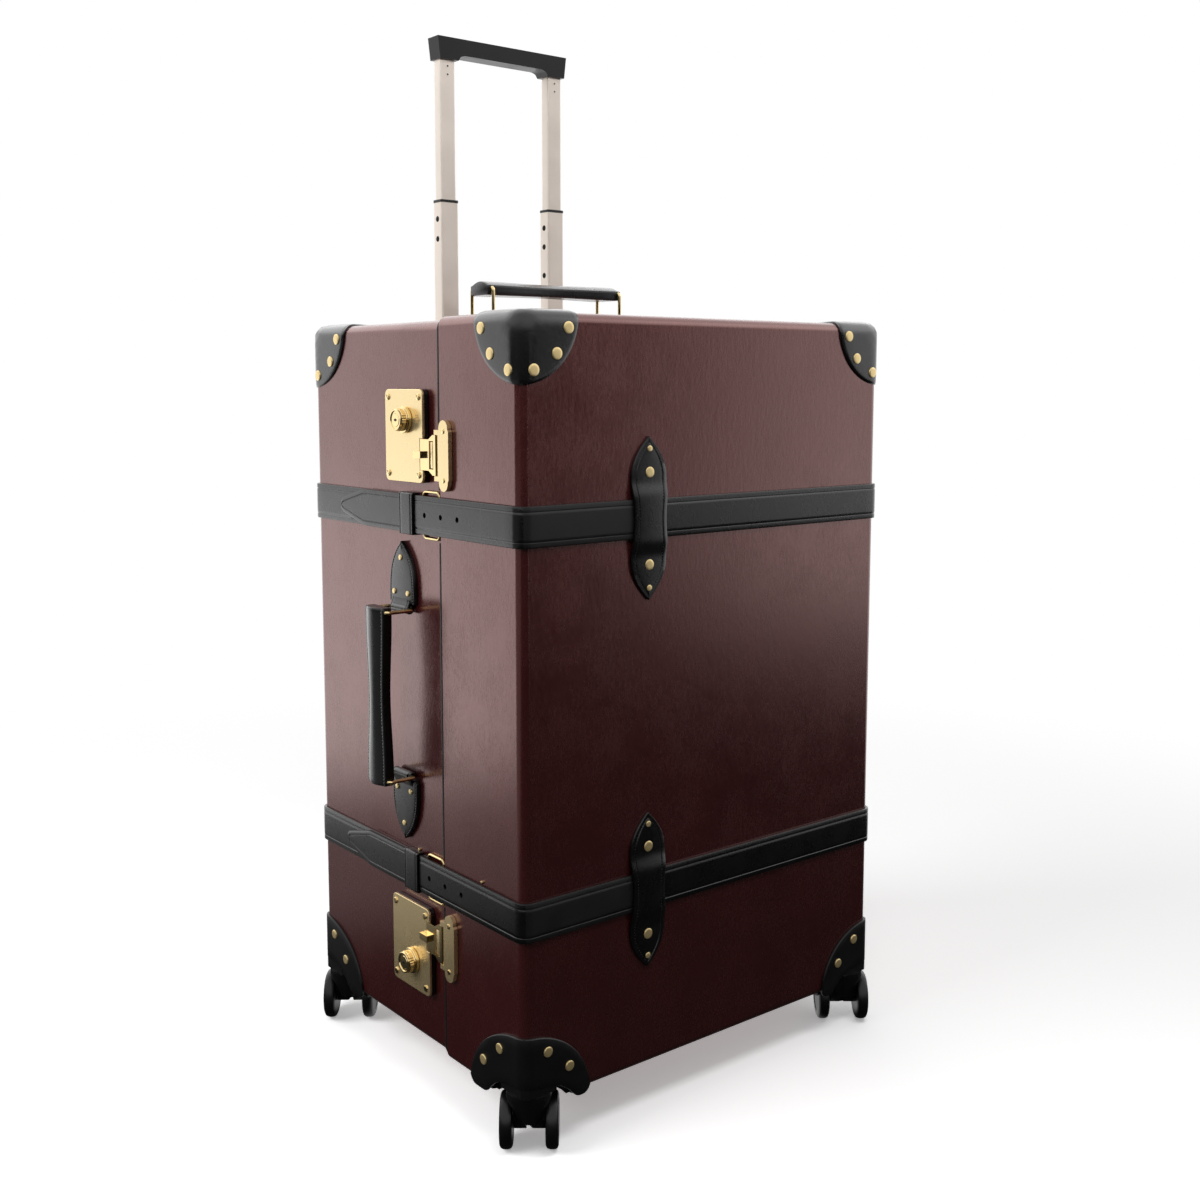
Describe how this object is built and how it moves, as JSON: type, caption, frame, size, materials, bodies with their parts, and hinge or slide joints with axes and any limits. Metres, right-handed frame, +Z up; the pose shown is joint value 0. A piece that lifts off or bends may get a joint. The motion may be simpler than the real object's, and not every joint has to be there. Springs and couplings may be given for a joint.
{
  "type": "luggage trunk",
  "caption": "Upright fibreboard luggage trunk with hinged lid, leather straps and corners, brass locks, carrying handles, telescopic trolley and twin-wheel casters.",
  "frame": {"origin": "on the floor under the middle of the object's bounding box", "axes": "+Z up, -Y towards the lid panel (front), -X towards the locks and side handle, +Y towards the trolley (back)"},
  "size_m": [0.5564, 0.441, 1.146],
  "materials": {
    "burgundy_fibreboard": "lacquered",
    "black_leather": "satin",
    "polished_brass": "polished",
    "champagne_aluminium": "anodised",
    "black_plastic": "moulded",
    "wheel_rubber": "matte",
    "black_lining_board": "matte"
  },
  "bodies": {
    "base": {"base_shell": "burgundy_fibreboard", "base_rim": "black_lining_board", "trolley_cover": "black_lining_board", "trolley_frame": "black_plastic", "hinge_base_upper": "polished_brass", "hinge_base_lower": "polished_brass", "lock_plate_upper": "polished_brass", "lock_plate_lower": "polished_brass", "side_chape_upper": "black_leather", "side_chape_lower": "black_leather", "strap_base_upper": "black_leather", "strap_base_lower": "black_leather", "buckle_upper": "polished_brass", "buckle_lower": "polished_brass", "top_chape_left": "black_leather", "top_chape_right": "black_leather", "cap_back_left": "black_leather", "cap_back_right": "black_leather", "foot_back_left": "black_plastic", "foot_back_right": "black_plastic"},
    "lid": {"lid_shell": "burgundy_fibreboard", "hinge_lid_upper": "polished_brass", "hinge_lid_lower": "polished_brass", "hasp_plate_upper": "polished_brass", "hasp_plate_lower": "polished_brass", "strap_lid_upper": "black_leather", "strap_lid_lower": "black_leather", "front_keeper_upper": "black_leather", "front_keeper_lower": "black_leather", "cap_front_left": "black_leather", "cap_front_right": "black_leather", "foot_front_left": "black_plastic", "foot_front_right": "black_plastic"},
    "hasp_upper": {"hasp_upper": "polished_brass"},
    "dial_upper": {"dial_upper": "polished_brass"},
    "strap_tail_upper": {"strap_tail_upper": "black_leather"},
    "side_link_upper": {"side_link_upper": "polished_brass"},
    "hasp_lower": {"hasp_lower": "polished_brass"},
    "dial_lower": {"dial_lower": "polished_brass"},
    "strap_tail_lower": {"strap_tail_lower": "black_leather"},
    "side_link_lower": {"side_link_lower": "polished_brass"},
    "side_grip": {"side_grip": "black_leather"},
    "top_link_left": {"top_link_left": "polished_brass"},
    "top_link_right": {"top_link_right": "polished_brass"},
    "top_grip": {"top_grip": "black_leather"},
    "trolley_outer": {"outer_tube_left": "champagne_aluminium", "outer_tube_right": "champagne_aluminium"},
    "trolley_inner": {"inner_tube_left": "champagne_aluminium", "inner_tube_right": "champagne_aluminium", "trolley_grip": "black_plastic"},
    "trolley_button": {"trolley_button": "black_plastic"},
    "fork_front_left": {"fork_front_left": "black_plastic"},
    "wheels_front_left": {"wheels_front_left": "wheel_rubber"},
    "fork_front_right": {"fork_front_right": "black_plastic"},
    "wheels_front_right": {"wheels_front_right": "wheel_rubber"},
    "fork_back_left": {"fork_back_left": "black_plastic"},
    "wheels_back_left": {"wheels_back_left": "wheel_rubber"},
    "fork_back_right": {"fork_back_right": "black_plastic"},
    "wheels_back_right": {"wheels_back_right": "wheel_rubber"}
  },
  "joints": [
    {"name": "lid_hinge", "type": "hinge", "parent": "base", "child": "lid", "pos_m": [0.25756, -0.0728, 0.433], "axis": [0, 0, 1], "range_deg": [0, 100]},
    {"name": "hasp_upper_hinge", "type": "hinge", "parent": "lid", "child": "hasp_upper", "pos_m": [-0.24074, -0.0718, 0.677], "axis": [0, 0, 1], "range_deg": [0, 110]},
    {"name": "dial_upper_turn", "type": "hinge", "parent": "base", "child": "dial_upper", "pos_m": [-0.24274, -0.0158, 0.711], "axis": [-1, 0, 0], "continuous": true},
    {"name": "strap_tail_upper_bend", "type": "hinge", "parent": "lid", "child": "strap_tail_upper", "pos_m": [-0.24154, -0.0868, 0.616], "axis": [0, 0, 1], "range_deg": [0, 90]},
    {"name": "hasp_lower_hinge", "type": "hinge", "parent": "lid", "child": "hasp_lower", "pos_m": [-0.24074, -0.0718, 0.177], "axis": [0, 0, 1], "range_deg": [0, 110]},
    {"name": "dial_lower_turn", "type": "hinge", "parent": "base", "child": "dial_lower", "pos_m": [-0.24274, -0.0158, 0.143], "axis": [-1, 0, 0], "continuous": true},
    {"name": "strap_tail_lower_bend", "type": "hinge", "parent": "lid", "child": "strap_tail_lower", "pos_m": [-0.24154, -0.0868, 0.24], "axis": [0, 0, 1], "range_deg": [0, 90]},
    {"name": "side_link_lower_swing", "type": "hinge", "parent": "base", "child": "side_link_lower", "pos_m": [-0.24024, 0.0012, 0.34], "axis": [0, 1, 0], "range_deg": [-55, 55]},
    {"name": "side_link_upper_swing", "type": "hinge", "parent": "base", "child": "side_link_upper", "pos_m": [-0.24024, 0.0012, 0.516], "axis": [0, 1, 0], "range_deg": [-55, 55]},
    {"name": "side_grip_swing", "type": "hinge", "parent": "side_link_lower", "child": "side_grip", "pos_m": [-0.27024, 0.0012, 0.34], "axis": [0, 1, 0], "range_deg": [-55, 55]},
    {"name": "top_link_left_swing", "type": "hinge", "parent": "base", "child": "top_link_left", "pos_m": [-0.08324, 0.0797, 0.815], "axis": [0, 1, 0], "range_deg": [-55, 55]},
    {"name": "top_link_right_swing", "type": "hinge", "parent": "base", "child": "top_link_right", "pos_m": [0.09876, 0.0797, 0.815], "axis": [0, 1, 0], "range_deg": [-55, 55]},
    {"name": "top_grip_swing", "type": "hinge", "parent": "top_link_left", "child": "top_grip", "pos_m": [-0.08324, 0.0797, 0.854], "axis": [0, 1, 0], "range_deg": [-55, 55]},
    {"name": "trolley_lower_slide", "type": "slide", "parent": "base", "child": "trolley_outer", "axis": [0, 0, 1], "range_m": [-0.142, 0]},
    {"name": "trolley_upper_slide", "type": "slide", "parent": "trolley_outer", "child": "trolley_inner", "axis": [0, 0, 1], "range_m": [-0.152, 0]},
    {"name": "trolley_button_press", "type": "slide", "parent": "trolley_inner", "child": "trolley_button", "axis": [-1, 0, 0], "range_m": [0, 0.003], "stiffness_N_per_m": 300},
    {"name": "fork_front_left_swivel", "type": "hinge", "parent": "lid", "child": "fork_front_left", "pos_m": [-0.21924, -0.1908, 0.065], "axis": [0, 0, 1], "continuous": true},
    {"name": "wheels_front_left_roll", "type": "hinge", "parent": "fork_front_left", "child": "wheels_front_left", "pos_m": [-0.21299, -0.183, 0.0275], "axis": [-0.7804, 0.6252, 0], "continuous": true},
    {"name": "fork_front_right_swivel", "type": "hinge", "parent": "lid", "child": "fork_front_right", "pos_m": [0.23476, -0.1908, 0.065], "axis": [0, 0, 1], "continuous": true},
    {"name": "wheels_front_right_roll", "type": "hinge", "parent": "fork_front_right", "child": "wheels_front_right", "pos_m": [0.24101, -0.183, 0.0275], "axis": [-0.7804, 0.6252, 0], "continuous": true},
    {"name": "fork_back_left_swivel", "type": "hinge", "parent": "base", "child": "fork_back_left", "pos_m": [-0.21594, 0.1752, 0.065], "axis": [0, 0, 1], "continuous": true},
    {"name": "wheels_back_left_roll", "type": "hinge", "parent": "fork_back_left", "child": "wheels_back_left", "pos_m": [-0.20969, 0.183, 0.0275], "axis": [-0.7804, 0.6252, 0], "continuous": true},
    {"name": "fork_back_right_swivel", "type": "hinge", "parent": "base", "child": "fork_back_right", "pos_m": [0.23146, 0.1752, 0.065], "axis": [0, 0, 1], "continuous": true},
    {"name": "wheels_back_right_roll", "type": "hinge", "parent": "fork_back_right", "child": "wheels_back_right", "pos_m": [0.23771, 0.183, 0.0275], "axis": [-0.7804, 0.6252, 0], "continuous": true}
  ],
  "couplings": [
    {"joint": "side_link_upper_swing", "follows": "side_link_lower_swing", "ratio": 1},
    {"joint": "side_grip_swing", "follows": "side_link_lower_swing", "ratio": -1},
    {"joint": "top_link_right_swing", "follows": "top_link_left_swing", "ratio": 1},
    {"joint": "top_grip_swing", "follows": "top_link_left_swing", "ratio": -1}
  ]
}
